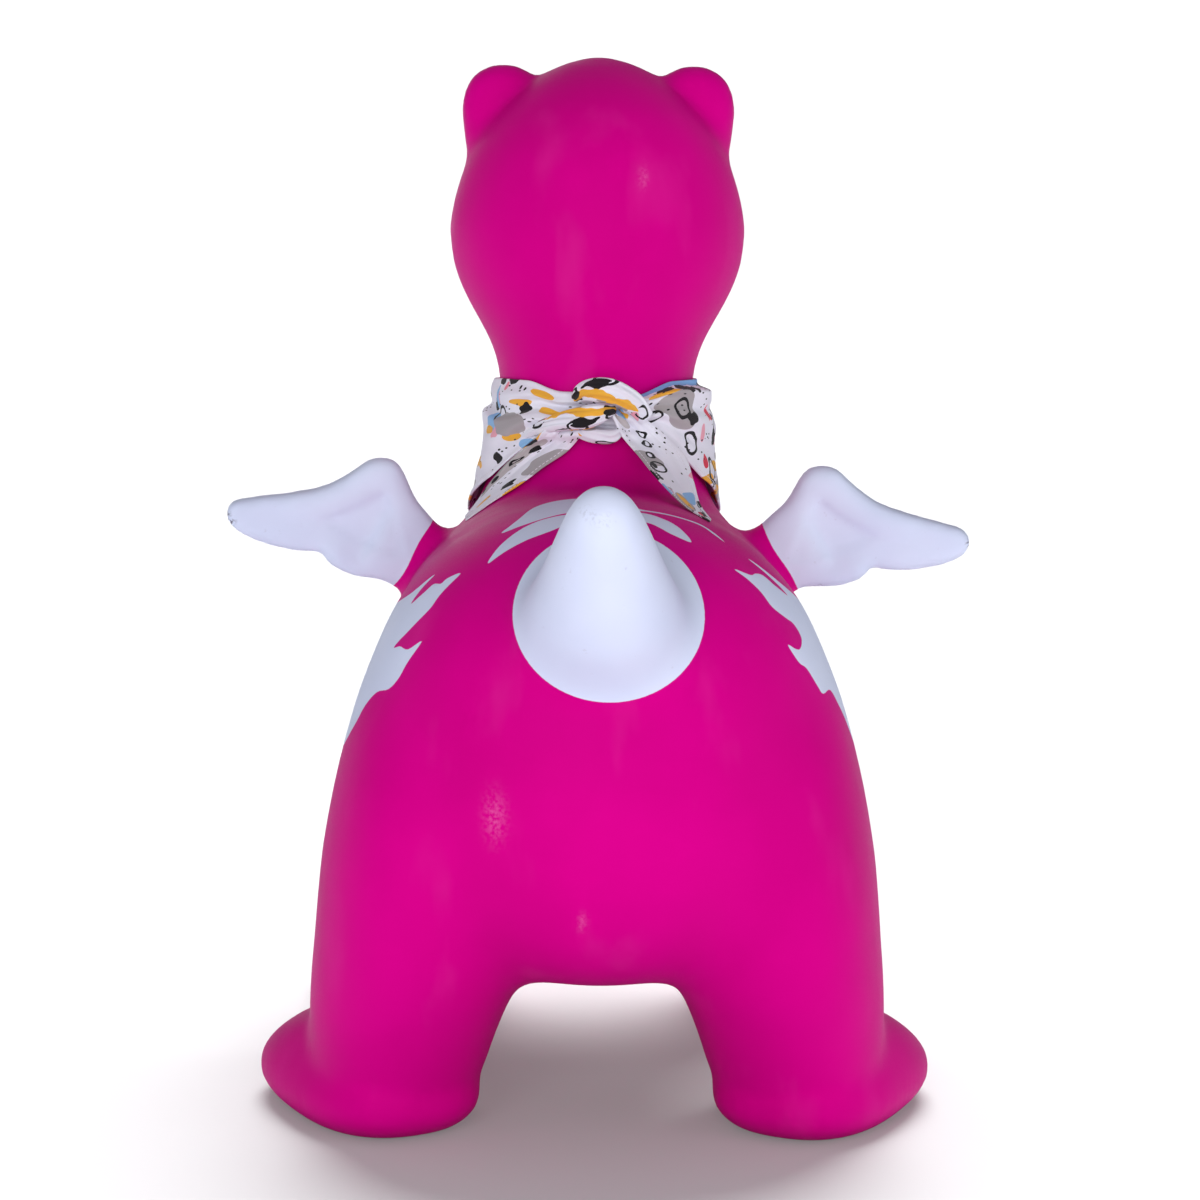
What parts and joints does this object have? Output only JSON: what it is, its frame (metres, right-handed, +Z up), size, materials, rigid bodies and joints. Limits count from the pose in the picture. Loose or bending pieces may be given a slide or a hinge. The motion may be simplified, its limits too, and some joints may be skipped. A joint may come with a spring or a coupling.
{
  "type": "bouncy ride on animal",
  "caption": "Inflated rubber ride-on animal for bouncing, with wings and ears as grips, a cone tail, a valve plug under the belly and a bandana knotted at the neck.",
  "frame": {"origin": "on the floor, under the middle of the toy's box", "axes": "+Z up, +Y the way the animal faces, +X its right side"},
  "size_m": [0.426, 0.534, 0.5677],
  "materials": {
    "pink_skin": "satin",
    "white_paint": "satin",
    "plug_white": "satin",
    "printed_cotton": "matte"
  },
  "bodies": {
    "trunk": {"torso": "pink_skin", "neck": "pink_skin", "neck_flex": "pink_skin", "leg_rear_left": "pink_skin", "leg_rear_right": "pink_skin", "leg_front_left": "pink_skin", "leg_front_right": "pink_skin", "ankle_rear_left": "pink_skin", "ankle_rear_right": "pink_skin", "ankle_front_left": "pink_skin", "ankle_front_right": "pink_skin", "wing_root_left": "pink_skin", "wing_root_right": "pink_skin", "tail_root": "white_paint", "bandana_band": "printed_cotton", "bandana_knot": "printed_cotton", "bandana_end_left": "printed_cotton", "bandana_end_right": "printed_cotton"},
    "head": {"head": "pink_skin", "ear_root_left": "pink_skin", "ear_root_right": "pink_skin"},
    "ear_left": {"ear_left": "pink_skin"},
    "ear_right": {"ear_right": "pink_skin"},
    "wing_left": {"wing_left": "white_paint"},
    "wing_right": {"wing_right": "white_paint"},
    "tail": {"tail": "white_paint"},
    "valve_plug": {"valve_plug": "plug_white"},
    "foot_rear_left": {"foot_rear_left": "pink_skin"},
    "foot_rear_right": {"foot_rear_right": "pink_skin"},
    "foot_front_left": {"foot_front_left": "pink_skin"},
    "foot_front_right": {"foot_front_right": "pink_skin"}
  },
  "joints": [
    {"name": "head_nod", "type": "hinge", "parent": "trunk", "child": "head", "pos_m": [0, 0.1267, 0.3913], "axis": [1, 0, 0], "range_deg": [-12, 12], "stiffness_Nm_per_rad": 20, "deforming": ["neck_flex"]},
    {"name": "ear_left_fold", "type": "hinge", "parent": "head", "child": "ear_left", "pos_m": [-0.0651, 0.1498, 0.5343], "axis": [0.5299, 0, 0.848], "range_deg": [-15, 15], "stiffness_Nm_per_rad": 2, "deforming": ["ear_root_left"]},
    {"name": "ear_right_fold", "type": "hinge", "parent": "head", "child": "ear_right", "pos_m": [0.0651, 0.1498, 0.5343], "axis": [0.5299, 0, -0.848], "range_deg": [-15, 15], "stiffness_Nm_per_rad": 2, "deforming": ["ear_root_right"]},
    {"name": "wing_left_flap", "type": "hinge", "parent": "trunk", "child": "wing_left", "pos_m": [-0.1022, 0.0681, 0.2827], "axis": [0, 1, 0], "range_deg": [-15, 18], "stiffness_Nm_per_rad": 5, "deforming": ["wing_root_left"]},
    {"name": "wing_right_flap", "type": "hinge", "parent": "trunk", "child": "wing_right", "pos_m": [0.1022, 0.0681, 0.2827], "axis": [0, -1, 0], "range_deg": [-15, 18], "stiffness_Nm_per_rad": 5, "deforming": ["wing_root_right"]},
    {"name": "tail_flex", "type": "hinge", "parent": "trunk", "child": "tail", "pos_m": [0, -0.1932, 0.3008], "axis": [1, 0, 0], "range_deg": [-10, 10], "stiffness_Nm_per_rad": 8, "deforming": ["tail_root"]},
    {"name": "valve_pull", "type": "slide", "parent": "trunk", "child": "valve_plug", "axis": [0, 0, -1], "range_m": [0, 0.022]},
    {"name": "foot_rear_left_squash", "type": "slide", "parent": "trunk", "child": "foot_rear_left", "axis": [0, 0, 1], "range_m": [0, 0.025], "stiffness_N_per_m": 2500, "springref_m": -0.005, "deforming": ["ankle_rear_left"]},
    {"name": "foot_rear_right_squash", "type": "slide", "parent": "trunk", "child": "foot_rear_right", "axis": [0, 0, 1], "range_m": [0, 0.025], "stiffness_N_per_m": 2500, "springref_m": -0.005, "deforming": ["ankle_rear_right"]},
    {"name": "foot_front_left_squash", "type": "slide", "parent": "trunk", "child": "foot_front_left", "axis": [0, 0, 1], "range_m": [0, 0.025], "stiffness_N_per_m": 2500, "springref_m": -0.005, "deforming": ["ankle_front_left"]},
    {"name": "foot_front_right_squash", "type": "slide", "parent": "trunk", "child": "foot_front_right", "axis": [0, 0, 1], "range_m": [0, 0.025], "stiffness_N_per_m": 2500, "springref_m": -0.005, "deforming": ["ankle_front_right"]}
  ]
}
